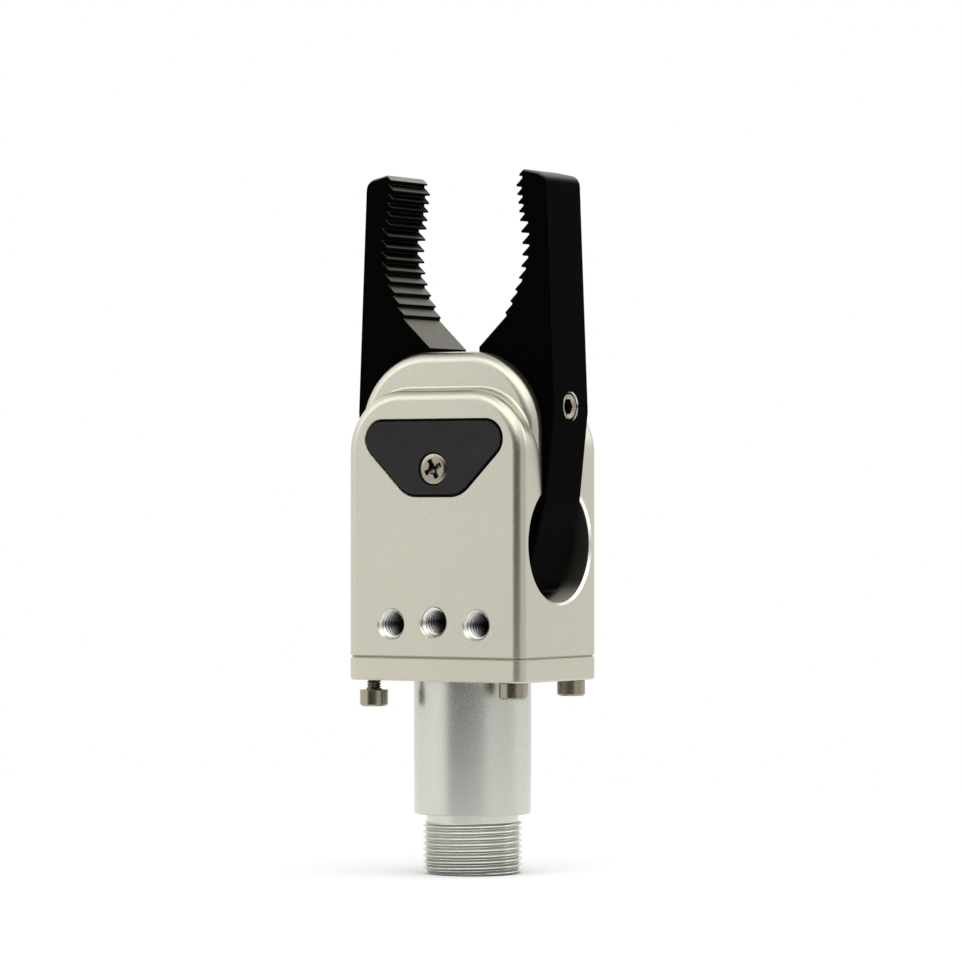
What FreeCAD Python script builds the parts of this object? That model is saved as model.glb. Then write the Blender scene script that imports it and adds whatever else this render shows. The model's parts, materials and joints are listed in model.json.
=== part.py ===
# Pneumatic mini gripper: two toothed jaws on pins in a slotted housing, closed by a piston in the shank.
# Millimetres. Origin on the shank's axis at the underside of the base plate, +Z towards the jaw tips.
# X is the direction in which the jaws open, and the front face with the cover looks along -Y.
import FreeCAD
import Part
import math
import os

from FreeCAD import Vector

# Fits
sliding_clearance = 0.05
seated_clearance = 0.02
cam_clearance = 0.15
jaw_side_clearance = 0.25
arm_bore_clearance = 0.5

# Base plate and its screws
body_width = 35.0
body_depth = 25.0
edge_round = 1.8
plate_thickness = 4.0
plate_edge_break = 0.3
screw_thread_radius = 1.25
screw_length = 10.0
screw_head_radius = 2.25
screw_head_height = 2.5
screw_socket_flats = 2.0
screw_socket_depth = 1.3
screw_inset_x = 3.55
screw_inset_y = 3.1
screw_hole_clearance = 0.1
tapped_hole_spare = 1.0
loose_screw_gap = 1.7

# Housing, with a low shoulder and a thinner crown on each side of the slot
cross_bore_rise = 19.2
cross_bore_radius = 10.0
cross_bore_chamfer = 0.4
pivot_rise = 17.6
shoulder_rise = 8.4
shoulder_radius = 10.6
crown_rise = 14.85
crown_radius = 13.3
crown_wall = 2.7
slot_width = 12.0
port_radius = 2.5
port_floor = 1.1
port_depth = 7.0
port_chamfer = 0.25
port_spacing = 8.5
middle_port_rise = 0.4

# Pivots
pivot_inset = 7.5
pin_radius = 2.0
pin_back_wall = 2.3
bush_wall = 0.5

# Cover plate over the pivot pins
cover_thickness = 1.5
cover_gap = 0.2
cover_rim_chamfer = 0.2
cover_lobe_margin = 1.1
cover_lobe_shift = 0.35
cover_drop = 9.4
cover_foot_radius = 5.0
cover_screw_drop = 5.0
cover_screw_head_radius = 2.7
cover_screw_head_land = 0.2
cover_screw_thread_radius = 1.5
cover_screw_tip_gap = 0.5

# Jaws
closing_angle = 16.5
jaw_reach = 45.35
jaw_shoulder_drop = 0.95
jaw_shoulder_radius = 2.0
jaw_shoulder_outward = 7.98
jaw_knee_outward = 9.6
jaw_knee_rise = 4.7
jaw_knee_radius = 4.0
jaw_waist_outward = 8.0
jaw_waist_drop = 10.3
jaw_waist_radius = 8.0
arm_end_outward = 3.9
arm_end_radius = 1.0
arm_heel_inward = 4.0
arm_heel_radius = 1.5
jaw_face_inward = 5.05
jaw_step_gap = 0.8
jaw_web_rise = 3.4
cam_run_out = 1.2
edge_chamfer = 0.25

# Teeth: barbs along a leaning stretch, an arc, and a stretch that leans towards the incline
fine_teeth = 5
coarse_teeth = 8
fine_pitch = 1.46
coarse_pitch = 1.94
tooth_line_outward = 2.33
tooth_line_lean = 7.0
tooth_start = 2.58
tooth_arc_drop = 11.47
tooth_arc_radius = 16.0
tooth_end_lean = 27.0
tooth_slope = 44.0
tooth_blunt = 0.3
tooth_root_wall = 0.38
ridge_run = 1.4
ridge_barb_inset = 0.55
incline_slope = 43.5

# Jaw spring and the grub screws that it rests on
spring_rise = 5.5
grub_radius = 2.5
grub_length = 4.0
grub_recess = 0.9
grub_socket_flats = 2.5
grub_socket_depth = 2.0
jaw_spring_wire = 0.6
jaw_spring_clearance = 0.4
jaw_spring_turns = 11

# Shank and cylinder
shank_radius = 10.0
shank_length = 23.0
shank_chamfer = 0.4
neck_step = 0.4
relief_radius = 7.9
relief_length = 1.2
thread_radius = 8.5
thread_end = 33.0
thread_chamfer = 0.4
collar_thickness = 2.0
bore_radius = 6.0
plug_shoulder = 0.5
plug_length = 5.0
plug_nose_length = 2.0
plug_passage_radius = 1.5
plug_pin_radius = 0.8
plug_pin_offset = 4.4
plug_pin_depth = 2.0
ring_radius = 0.5

# How finely the springs follow their helix and the round of their wire
coil_steps = 12
wire_sides = 8

# Piston, rod and spreader
stroke = 10.0
spreader_floor_gap = 2.6
spreader_radius = 4.0
spreader_boss_gap = 1.6
rod_radius = 2.5
boss_wall = 1.1
rod_socket_depth = 3.4
rod_spigot_radius = 1.5
piston_length = 7.5
piston_gap = 0.2
nut_flats = 5.5
nut_height = 1.8
nut_recess_depth = 2.4
nut_corner_clearance = 0.2
bush_flange_lip = 1.0
bush_flange_thickness = 1.6
bush_neck_wall = 1.5
bush_neck_recess = 0.6
rod_ring_drop = 3.0
vent_radius = 0.7
vent_wall = 0.9
return_spring_wire = 0.8
return_spring_turns = 7

# Heights, worked out upwards from the plate
collar_top = plate_thickness + collar_thickness
port_height = collar_top + port_floor + port_radius
cross_bore_height = plate_thickness + cross_bore_rise
bore_floor = cross_bore_height - cross_bore_radius
pivot_height = cross_bore_height + pivot_rise
shoulder_top = pivot_height + shoulder_rise
crown_top = pivot_height + crown_rise
jaw_top = pivot_height + jaw_reach
jaw_step_height = crown_top + jaw_step_gap
spring_bore_height = pivot_height + spring_rise
cover_screw_height = pivot_height - cover_screw_drop

# Widths and depths of what fits together
half_width = body_width / 2
half_depth = body_depth / 2
half_slot = slot_width / 2
pivot_offset = half_width - pivot_inset
jaw_shoulder_offset = pivot_offset + jaw_shoulder_outward
jaw_knee_offset = pivot_offset + jaw_knee_outward
jaw_inner_offset = pivot_offset - jaw_face_inward
tooth_line_offset = pivot_offset + tooth_line_outward
jaw_thickness = slot_width - 2 * jaw_side_clearance
half_jaw = jaw_thickness / 2
crown_depth = slot_width + 2 * crown_wall
cover_seat = -half_depth + cover_thickness
cover_screw_length = half_depth - half_slot - cover_screw_tip_gap
pin_back_end = half_depth - pin_back_wall
bush_radius = pin_radius + bush_wall
cover_lobe_radius = pin_radius + cover_lobe_margin
arm_reach_in_bore = math.sqrt(cross_bore_radius ** 2 - (half_jaw + arm_bore_clearance) ** 2)
arm_end_height = cross_bore_height - arm_reach_in_bore
grub_outer_end = jaw_knee_offset - grub_recess
grub_inner_end = grub_outer_end - grub_length

# Cylinder, worked out from the bore and the rod
neck_radius = shank_radius + neck_step
collar_radius = (neck_radius + half_depth) / 2
plug_radius = bore_radius + plug_shoulder
plug_seat = -thread_end + plug_length
plug_top = plug_seat + plug_nose_length
piston_bottom = plug_top + piston_gap
piston_top = piston_bottom + piston_length
nut_seat = piston_bottom + nut_recess_depth
bush_flange_radius = bore_radius + bush_flange_lip
bush_neck_radius = rod_radius + bush_neck_wall
bush_seat = collar_top - bush_flange_thickness
bush_top = bore_floor - bush_neck_recess
vent_offset = bush_neck_radius + vent_wall + vent_radius
spreader_height = bore_floor + spreader_floor_gap + spreader_radius
spreader_length = jaw_thickness - 2 * jaw_side_clearance
spreader_boss_radius = rod_radius + boss_wall
spreader_boss_bottom = bush_top + spreader_boss_gap
rod_top = spreader_boss_bottom + rod_socket_depth

# Places of the seal rings, as radius and height
barrel_ring = ((bush_flange_radius + collar_radius) / 2, collar_top - ring_radius - seated_clearance)
plug_ring = (bore_radius - seated_clearance - ring_radius, plug_top - plug_nose_length / 2)
rod_ring = (rod_radius + sliding_clearance + ring_radius, bush_top - rod_ring_drop)
piston_ring = (bore_radius - sliding_clearance - ring_radius, piston_bottom + piston_length / 2)

# Directions, how close two positions are when they count as the same, and the way a sweep turns its corners
X = Vector(1, 0, 0)
Y = Vector(0, 1, 0)
Z = Vector(0, 0, 1)
same_place = 1e-6
sharp_corners = 1


def rod(radius, start, direction, length):
    """Plain round bar from a point along a direction."""
    return Part.makeCylinder(radius, length, start, direction)


def turned(profile, axis_start, axis):
    """Solid turned about an axis across X. The profile is a list of (radius, distance along the axis)."""
    points = [axis_start + X * r + axis * h for r, h in profile]
    face = Part.Face(Part.makePolygon(points + points[:1]))
    return face.revolve(axis_start, axis, 360)


def seal_ring(major, height):
    """Seal ring of round section about the shank's axis."""
    return Part.makeTorus(major, ring_radius, Vector(0, 0, height), Z)


def ring_groove(major, height):
    """Square groove with a small clearance round a seal ring of the same place."""
    reach = ring_radius + seated_clearance
    outer = Part.makeCylinder(major + reach, 2 * reach, Vector(0, 0, height - reach))
    return outer.cut(Part.makeCylinder(major - reach, 2 * reach, Vector(0, 0, height - reach)))


def rounded_edges(corners, y, closed=True):
    """Edges through corners in an X-Z plane. A corner is (x, z) or (x, z, radius) for a tangent arc."""
    spots = [Vector(corner[0], y, corner[1]) for corner in corners]
    radii = [corner[2] if len(corner) > 2 else 0.0 for corner in corners]
    starts = []
    ends = []
    edges = []
    for i, spot in enumerate(spots):
        if radii[i] == 0:
            starts.append(spot)
            ends.append(spot)
            continue
        back = (spots[i - 1] - spot).normalize()
        ahead = (spots[(i + 1) % len(spots)] - spot).normalize()
        half_angle = back.getAngle(ahead) / 2
        run = radii[i] / math.tan(half_angle)
        sagitta = radii[i] / math.sin(half_angle) - radii[i]
        starts.append(spot + back * run)
        ends.append(spot + ahead * run)
        middle = spot + (back + ahead).normalize() * sagitta
        edges.append(Part.Arc(starts[i], middle, ends[i]).toShape())
    lines = len(spots) if closed else len(spots) - 1
    for i in range(lines):
        edges.append(Part.LineSegment(ends[i], starts[(i + 1) % len(spots)]).toShape())
    return edges


def face_of(edges):
    """Flat face inside a closed run of edges given in any order."""
    return Part.Face(Part.Wire(Part.__sortEdges__(edges)))


def slab(corners, y_from, y_to):
    """Outline carried along Y."""
    return face_of(rounded_edges(corners, y_from)).extrude(Y * (y_to - y_from))


def edges_on(shape, wanted):
    """Edges whose middle point satisfies the given test."""
    found = []
    for edge in shape.Edges:
        middle = edge.valueAt((edge.FirstParameter + edge.LastParameter) / 2)
        if wanted(middle):
            found.append(edge)
    return found


def arched_block(top, corner_radius, depth):
    """Full width block with a round shouldered top and rounded front and back outlines."""
    corners = [
        (-half_width, plate_thickness),
        (half_width, plate_thickness),
        (half_width, top, corner_radius),
        (-half_width, top, corner_radius),
    ]
    block = slab(corners, -depth / 2, depth / 2)

    def on_front_or_back(middle):
        return abs(abs(middle.y) - depth / 2) < same_place and middle.z > plate_thickness + same_place

    return block.makeFillet(edge_round, edges_on(block, on_front_or_back))


def cover_corners(grow):
    """Cover's outline: a flat top, round lobes over the pins, sides at 45 degrees and a rounded foot."""
    lobe = cover_lobe_radius + grow
    lobe_offset = pivot_offset + cover_lobe_shift
    top = pivot_height + lobe
    foot = pivot_height - cover_drop - grow
    tangent = lobe_offset + lobe * math.sqrt(2)
    top_corner = tangent + lobe
    foot_corner = tangent - cover_drop - grow
    return [
        (-foot_corner, foot, cover_foot_radius),
        (foot_corner, foot, cover_foot_radius),
        (top_corner, top, lobe),
        (-top_corner, top, lobe),
    ]


def base_screw_places():
    """The four corners at which the plate is screwed to the housing."""
    x = half_width - screw_inset_x
    y = half_depth - screw_inset_y
    return [(-x, -y), (-x, y), (x, -y), (x, y)]


def port_places():
    """X, Z and depth of the threaded holes in the front. The middle one is higher and meets the vent."""
    vented_depth = half_depth - vent_offset + vent_radius / 2
    return [
        (-port_spacing, port_height, port_depth),
        (0, port_height + middle_port_rise, vented_depth),
        (port_spacing, port_height, port_depth),
    ]


def make_housing():
    """Arched body with the jaw slot, the cross bore, the cover's recess and the seats of the cylinder."""
    body = arched_block(shoulder_top, shoulder_radius, body_depth)
    body = body.fuse(arched_block(crown_top, crown_radius, crown_depth)).removeSplitter()

    slot_start = Vector(-body_width, -half_slot, cross_bore_height)
    body = body.cut(Part.makeBox(2 * body_width, slot_width, crown_top, slot_start))
    bore_start = Vector(-body_width, 0, cross_bore_height)
    body = body.cut(rod(cross_bore_radius, bore_start, X, 2 * body_width))
    for side in (-1, 1):
        mouth = Vector(side * half_width, 0, cross_bore_height)
        wide = cross_bore_radius + cross_bore_chamfer
        body = body.cut(Part.makeCone(wide, cross_bore_radius, cross_bore_chamfer, mouth, X * -side))

    body = body.cut(slab(cover_corners(cover_gap), -half_depth, cover_seat))
    tapped = cover_screw_thread_radius + seated_clearance
    body = body.cut(rod(tapped, Vector(0, -half_depth, cover_screw_height), Y, half_depth))
    for side in (-1, 1):
        start = Vector(side * pivot_offset, -half_depth, pivot_height)
        body = body.cut(rod(pin_radius + seated_clearance, start, Y, half_depth + pin_back_end))

    for x, z, depth in port_places():
        mouth = Vector(x, -half_depth, z)
        body = body.cut(rod(port_radius, mouth, Y, depth))
        body = body.cut(Part.makeCone(port_radius + port_chamfer, port_radius, port_chamfer, mouth, Y))

    floor = Vector(0, 0, plate_thickness)
    body = body.cut(rod(collar_radius + seated_clearance, floor, Z, collar_thickness))
    body = body.cut(rod(bush_neck_radius + seated_clearance, floor, Z, cross_bore_height - plate_thickness))
    vent_length = port_height - plate_thickness
    body = body.cut(rod(vent_radius, Vector(0, -vent_offset, plate_thickness), Z, vent_length))
    for x, y in base_screw_places():
        tapped = screw_thread_radius + seated_clearance
        depth = screw_length - plate_thickness + tapped_hole_spare
        body = body.cut(rod(tapped, Vector(x, y, plate_thickness), Z, depth))

    def on_underside_outline(middle):
        far_out = abs(middle.x) > half_width - edge_round or abs(middle.y) > half_depth - edge_round
        return abs(middle.z - plate_thickness) < same_place and far_out

    def on_recess_rim(middle):
        on_front = abs(middle.y + half_depth) < same_place
        under_top = middle.z < pivot_height + cover_lobe_radius + cover_gap + same_place
        over_foot = middle.z > pivot_height - cover_drop - cover_gap - same_place
        return on_front and under_top and over_foot and abs(middle.x) < half_width - edge_round - same_place

    body = body.makeChamfer(plate_edge_break, edges_on(body, on_underside_outline))
    return body.makeChamfer(cover_rim_chamfer, edges_on(body, on_recess_rim))


def make_base_plate():
    """Plate with the barrel's hole in the middle and a screw hole at each corner."""
    plate = Part.makeBox(body_width, body_depth, plate_thickness, Vector(-half_width, -half_depth, 0))

    def upright(middle):
        return 0 < middle.z < plate_thickness

    def on_rim(middle):
        return not upright(middle)

    plate = plate.makeFillet(edge_round, edges_on(plate, upright))
    plate = plate.makeChamfer(plate_edge_break, edges_on(plate, on_rim))
    plate = plate.cut(rod(neck_radius + seated_clearance, Vector(0, 0, 0), Z, plate_thickness))
    for x, y in base_screw_places():
        hole_radius = screw_thread_radius + screw_hole_clearance
        plate = plate.cut(rod(hole_radius, Vector(x, y, 0), Z, plate_thickness))
    return plate


def hex_prism(flats, height, start):
    """Upright hexagonal bar of a given width across flats."""
    corner = flats / math.sqrt(3)
    points = []
    for i in range(6):
        angle = math.radians(60 * i)
        points.append(start + Vector(corner * math.cos(angle), corner * math.sin(angle), 0))
    return Part.Face(Part.makePolygon(points + points[:1])).extrude(Z * height)


def make_base_screws():
    """Four socket head cap screws. The front left one stands out of its hole, as if being undone."""
    screws = []
    for x, y in base_screw_places():
        loose = loose_screw_gap if x < 0 and y < 0 else 0.0
        under_head = Vector(x, y, -loose)
        head = rod(screw_head_radius, under_head, -Z, screw_head_height)
        socket_start = under_head - Z * screw_head_height
        head = head.cut(hex_prism(screw_socket_flats, screw_socket_depth, socket_start))
        screws.append(head.fuse(rod(screw_thread_radius, under_head, Z, screw_length)).removeSplitter())
    return Part.makeCompound(screws)


def make_pin_cover():
    """Dark plate let flush into the front face, with the countersink of its screw."""
    plate = slab(cover_corners(0.0), -half_depth, cover_seat)
    return plate.cut(cover_screw_form(seated_clearance))


def cover_screw_form(grow):
    """Countersunk screw along Y with its head flush in the front face."""
    head = cover_screw_head_radius + grow
    shank = cover_screw_thread_radius + grow
    cone_end = cover_screw_head_land + head - shank
    profile = [
        (0, 0),
        (head, 0),
        (head, cover_screw_head_land),
        (shank, cone_end),
        (shank, cover_screw_length),
        (0, cover_screw_length),
    ]
    return turned(profile, Vector(0, -half_depth, cover_screw_height), Y)


def make_pivot_pin(side):
    """Pin pushed in from the front, held in by the cover."""
    start = Vector(side * pivot_offset, cover_seat, pivot_height)
    return rod(pin_radius, start, Y, pin_back_end - cover_seat - seated_clearance)


def make_pivot_bush(side):
    """Plain bearing in the jaw."""
    start = Vector(side * pivot_offset, -half_jaw, pivot_height)
    bush = rod(bush_radius, start, Y, jaw_thickness)
    return bush.cut(rod(pin_radius + sliding_clearance, start, Y, jaw_thickness))


def cam_point(share):
    """Point of the arm's cam face that the spreader touches at a share of its stroke, and its direction.

    The spreader's centre is turned back into the frame of the open arm, and the face is that path
    offset by the spreader's radius, so the jaw turns in proportion to the piston's travel.
    """
    span = math.radians(closing_angle)
    turn = share * span
    along_x = -pivot_offset
    along_z = spreader_height + stroke * share - pivot_height
    x = along_x * math.cos(turn) + along_z * math.sin(turn)
    z = -along_x * math.sin(turn) + along_z * math.cos(turn)
    speed_x = stroke * math.sin(turn) + span * z
    speed_z = stroke * math.cos(turn) - span * x
    speed = math.hypot(speed_x, speed_z)
    reach = spreader_radius + cam_clearance
    way = Vector(speed_x / speed, 0, speed_z / speed)
    contact = Vector(pivot_offset + x + reach * way.z, 0, pivot_height + z - reach * way.x)
    return contact, way


def tooth_tips():
    """Tips of the barbs from the top down: a line leaning outwards, an arc, and a line leaning inwards."""
    lean = math.radians(tooth_line_lean)
    end_lean = math.radians(tooth_end_lean)
    line_top = jaw_top - tooth_start
    arc_top = jaw_top - tooth_arc_drop
    arc_start = tooth_line_offset + (line_top - arc_top) * math.tan(lean)
    centre_x = arc_start - tooth_arc_radius * math.cos(lean)
    centre_z = arc_top - tooth_arc_radius * math.sin(lean)
    arc_bottom = centre_z - tooth_arc_radius * math.sin(end_lean)
    arc_end = centre_x + tooth_arc_radius * math.cos(end_lean)
    z = line_top
    tips = []
    for tooth in range(1, fine_teeth + coarse_teeth + 1):
        if z > arc_top:
            x = tooth_line_offset + (line_top - z) * math.tan(lean)
        elif z > arc_bottom:
            x = centre_x + math.sqrt(tooth_arc_radius ** 2 - (z - centre_z) ** 2)
        else:
            x = arc_end - (arc_bottom - z) * math.tan(end_lean)
        tips.append((x, z))
        z -= fine_pitch if tooth < fine_teeth else coarse_pitch
    return tips


def tooth_corners():
    """Corners of the toothed edge from the top barb down to the root at which the incline starts."""
    rise = math.tan(math.radians(tooth_slope))
    ridge_barb_drop = (ridge_run - ridge_barb_inset) * rise
    tips = [(tooth_line_offset + ridge_barb_inset, jaw_top - ridge_barb_drop)] + tooth_tips()
    corners = []
    for (x, z), (next_x, next_z) in zip(tips, tips[1:]):
        underside = z - tooth_blunt
        root = underside - tooth_root_wall
        root_x = next_x + (root - next_z) / rise
        corners += [(x, z), (x, underside), (root_x, underside), (root_x, root)]
    last_x, last_z = tips[-1]
    last_underside = last_z - tooth_blunt
    incline_top = last_underside - tooth_root_wall
    incline_run = (incline_top - jaw_step_height) / math.tan(math.radians(incline_slope))
    incline_x = jaw_inner_offset + incline_run
    corners += [(last_x, last_z), (last_x, last_underside), (incline_x, last_underside)]
    return corners + [(incline_x, incline_top)]


def jaw_corners():
    """Right jaw, fully open, from the cam's lower end round the arm, the outer edge and the teeth."""
    cam_low, cam_low_way = cam_point(0.0)
    cam_high, cam_high_way = cam_point(1.0)
    run_in = cam_low - cam_low_way * cam_run_out
    run_off = cam_high + cam_high_way * cam_run_out
    corners = [
        (cam_low.x, cam_low.z),
        (run_in.x, run_in.z),
        (pivot_offset - arm_heel_inward, arm_end_height, arm_heel_radius),
        (pivot_offset + arm_end_outward, arm_end_height, arm_end_radius),
        (pivot_offset + jaw_waist_outward, pivot_height - jaw_waist_drop, jaw_waist_radius),
        (jaw_knee_offset, pivot_height + jaw_knee_rise, jaw_knee_radius),
        (jaw_shoulder_offset, jaw_top - jaw_shoulder_drop, jaw_shoulder_radius),
        (tooth_line_offset + ridge_run, jaw_top),
    ]
    corners += tooth_corners()
    corners += [
        (jaw_inner_offset, jaw_step_height),
        (jaw_inner_offset, run_off.z + jaw_web_rise),
        (run_off.x, run_off.z),
        (cam_high.x, cam_high.z),
    ]
    return corners


def on_side(shape, side):
    """The right hand shape itself, or its mirror image for the left hand side."""
    return shape if side > 0 else shape.mirror(Vector(0, 0, 0), X)


def make_jaw(side):
    """Toothed jaw with the bush's bore and the through bore of the spring and its grub screw."""
    cam = Part.Arc(*[cam_point(share)[0] - Y * half_jaw for share in (1.0, 0.5, 0.0)]).toShape()
    jaw = face_of(rounded_edges(jaw_corners(), -half_jaw, closed=False) + [cam]).extrude(Y * jaw_thickness)

    def on_outer_rim(middle):
        outside = middle.x > jaw_shoulder_offset - jaw_shoulder_radius
        on_top = middle.z > jaw_top - jaw_shoulder_drop and middle.x > tooth_line_offset + ridge_run
        return (outside or on_top) and abs(abs(middle.y) - half_jaw) < same_place

    jaw = jaw.makeChamfer(edge_chamfer, edges_on(jaw, on_outer_rim))
    pivot = Vector(pivot_offset, -half_jaw, pivot_height)
    jaw = jaw.cut(rod(bush_radius + seated_clearance, pivot, Y, jaw_thickness))
    bore_start = Vector(0, 0, spring_bore_height)
    jaw = jaw.cut(rod(grub_radius + seated_clearance, bore_start, X, body_width))
    return on_side(jaw, side)


def make_spring_screw(side):
    """Hex socket grub screw that closes the spring's bore, set back from the jaw's outer face."""
    screw = rod(grub_radius, Vector(grub_inner_end, 0, spring_bore_height), X, grub_length)
    socket = hex_prism(grub_socket_flats, grub_socket_depth, Vector(0, 0, 0))
    socket.rotate(Vector(0, 0, 0), Y, 90)
    socket.translate(Vector(grub_outer_end - grub_socket_depth, 0, spring_bore_height))
    return on_side(screw.cut(socket), side)


def coil(radius, wire, turns, length):
    """Compression spring along Z from the origin: a many sided wire along short steps of a helix."""
    rise = (length - wire) / (turns * coil_steps)
    points = []
    for i in range(turns * coil_steps + 1):
        angle = 2 * math.pi * i / coil_steps
        points.append(Vector(radius * math.cos(angle), radius * math.sin(angle), wire / 2 + rise * i))
    ahead = (points[1] - points[0]).normalize()
    outward = ahead.cross(Z).normalize()
    upward = outward.cross(ahead)
    section = []
    for i in range(wire_sides):
        angle = 2 * math.pi * i / wire_sides
        section.append(points[0] + (outward * math.cos(angle) + upward * math.sin(angle)) * (wire / 2))
    outline = Part.makePolygon(section + section[:1])
    return Part.makePolygon(points).makePipeShell([outline], True, False, sharp_corners)


def make_jaw_spring():
    """Spring between the two grub screws, through both jaws."""
    reach = grub_inner_end - seated_clearance
    coil_radius = grub_radius - jaw_spring_clearance - jaw_spring_wire / 2
    spring = coil(coil_radius, jaw_spring_wire, jaw_spring_turns, 2 * reach)
    spring.rotate(Vector(0, 0, 0), Y, 90)
    spring.translate(Vector(-reach, 0, spring_bore_height))
    return spring


def make_return_spring():
    """Spring round the rod between the piston and the guide bush."""
    length = bush_seat - piston_top - 2 * seated_clearance
    spring = coil((bore_radius + rod_radius) / 2, return_spring_wire, return_spring_turns, length)
    spring.translate(Z * (piston_top + seated_clearance))
    return spring


def make_cylinder_barrel():
    """Shank that is also the air cylinder, with a collar held between the plate and the housing."""
    flange = bush_flange_radius + seated_clearance
    plug = plug_radius + seated_clearance
    profile = [
        (plug, -thread_end),
        (thread_radius - thread_chamfer, -thread_end),
        (thread_radius, -thread_end + thread_chamfer),
        (thread_radius, -shank_length - relief_length),
        (relief_radius, -shank_length - relief_length),
        (relief_radius, -shank_length),
        (shank_radius - shank_chamfer, -shank_length),
        (shank_radius, -shank_length + shank_chamfer),
        (shank_radius, 0),
        (neck_radius, 0),
        (neck_radius, plate_thickness),
        (collar_radius, plate_thickness),
        (collar_radius, collar_top),
        (flange, collar_top),
        (flange, bush_seat),
        (bore_radius, bush_seat),
        (bore_radius, plug_seat),
        (plug, plug_seat),
    ]
    barrel = turned(profile, Vector(0, 0, 0), Z)
    return barrel.cut(ring_groove(*barrel_ring))


def make_end_plug():
    """Plug in the shank's lower end with the air port and two holes for a pin spanner."""
    nose = bore_radius - seated_clearance
    profile = [
        (port_radius + port_chamfer, -thread_end),
        (plug_radius, -thread_end),
        (plug_radius, plug_seat),
        (nose, plug_seat),
        (nose, plug_top),
        (plug_passage_radius, plug_top),
        (plug_passage_radius, plug_seat),
        (port_radius, plug_seat),
        (port_radius, -thread_end + port_chamfer),
    ]
    plug = turned(profile, Vector(0, 0, 0), Z)
    for side in (-1, 1):
        pin_start = Vector(side * plug_pin_offset, 0, -thread_end)
        plug = plug.cut(rod(plug_pin_radius, pin_start, Z, plug_pin_depth))
    return plug.cut(ring_groove(*plug_ring))


def make_guide_bush():
    """Flanged bush in the housing's floor, clamped by the barrel's collar, with a vent hole in its flange."""
    bore = rod_radius + sliding_clearance
    profile = [
        (bore, bush_seat),
        (bush_flange_radius, bush_seat),
        (bush_flange_radius, collar_top),
        (bush_neck_radius, collar_top),
        (bush_neck_radius, bush_top),
        (bore, bush_top),
    ]
    bush = turned(profile, Vector(0, 0, 0), Z)
    bush = bush.cut(rod(vent_radius, Vector(0, -vent_offset, bush_seat), Z, bush_flange_thickness))
    return bush.cut(ring_groove(*rod_ring))


def make_piston():
    """Piston with a ring groove and a recess for the nut in its underside."""
    spigot = rod_spigot_radius + seated_clearance
    wall = bore_radius - sliding_clearance
    recess = nut_flats / math.sqrt(3) + nut_corner_clearance
    profile = [
        (recess, piston_bottom),
        (wall, piston_bottom),
        (wall, piston_top),
        (spigot, piston_top),
        (spigot, nut_seat),
        (recess, nut_seat),
    ]
    return turned(profile, Vector(0, 0, 0), Z).cut(ring_groove(*piston_ring))


def make_piston_nut():
    """Nut on the rod's spigot under the piston."""
    start = Vector(0, 0, nut_seat - nut_height)
    nut = hex_prism(nut_flats, nut_height, start)
    return nut.cut(rod(rod_spigot_radius + seated_clearance, start, Z, nut_height))


def make_piston_rod():
    """Rod with a thinner spigot through the piston, its top end in the spreader's boss."""
    spigot_start = Vector(0, 0, nut_seat - nut_height)
    spigot = rod(rod_spigot_radius, spigot_start, Z, piston_top - spigot_start.z)
    main = rod(rod_radius, Vector(0, 0, piston_top), Z, rod_top - piston_top)
    return main.fuse(spigot).removeSplitter()


def make_spreader_head():
    """Round nosed head that rises between the arms, with the rod's socket in its boss."""
    nose = rod(spreader_radius, Vector(0, -spreader_length / 2, spreader_height), Y, spreader_length)
    boss_start = Vector(0, 0, spreader_boss_bottom)
    boss = rod(spreader_boss_radius, boss_start, Z, spreader_height - spreader_boss_bottom)
    head = nose.fuse(boss).removeSplitter()
    return head.cut(rod(rod_radius + seated_clearance, boss_start, Z, rod_socket_depth))


pieces = {
    "housing": make_housing(),
    "base_plate": make_base_plate(),
    "base_screws": make_base_screws(),
    "pin_cover": make_pin_cover(),
    "cover_screw": cover_screw_form(0.0),
    "cylinder_barrel": make_cylinder_barrel(),
    "barrel_seal": seal_ring(*barrel_ring),
    "end_plug": make_end_plug(),
    "end_plug_seal": seal_ring(*plug_ring),
    "guide_bush": make_guide_bush(),
    "rod_seal": seal_ring(*rod_ring),
    "piston": make_piston(),
    "piston_seal": seal_ring(*piston_ring),
    "piston_nut": make_piston_nut(),
    "piston_rod": make_piston_rod(),
    "spreader_head": make_spreader_head(),
    "return_spring": make_return_spring(),
    "jaw_spring": make_jaw_spring(),
}
for name, side in (("left", -1), ("right", 1)):
    pieces[name + "_jaw"] = make_jaw(side)
    pieces[name + "_pivot_bush"] = make_pivot_bush(side)
    pieces[name + "_pivot_pin"] = make_pivot_pin(side)
    pieces[name + "_spring_screw"] = make_spring_screw(side)

os.makedirs("parts", exist_ok=True)
for name, shape in pieces.items():
    shape.exportStep("parts/" + name + ".step")
    print(name, "solids", len(shape.Solids), "volume", round(shape.Volume, 2), "valid", shape.isValid())
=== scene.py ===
# %% [markdown]
# # A pneumatic mini gripper, dressed for the camera
# The solids of this gripper come from a CAD model: a slotted aluminium housing, two black toothed jaws,
# a cover, a shank that is also the air cylinder, and the small parts inside.
# This lesson keeps those solids where they are and gives them what CAD leaves out or keeps plain:
# screw threads, a cross recess, springs of round wire, and the finish of each metal.

# %% Load the CAD model as a fixed frame
import json
import math

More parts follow.
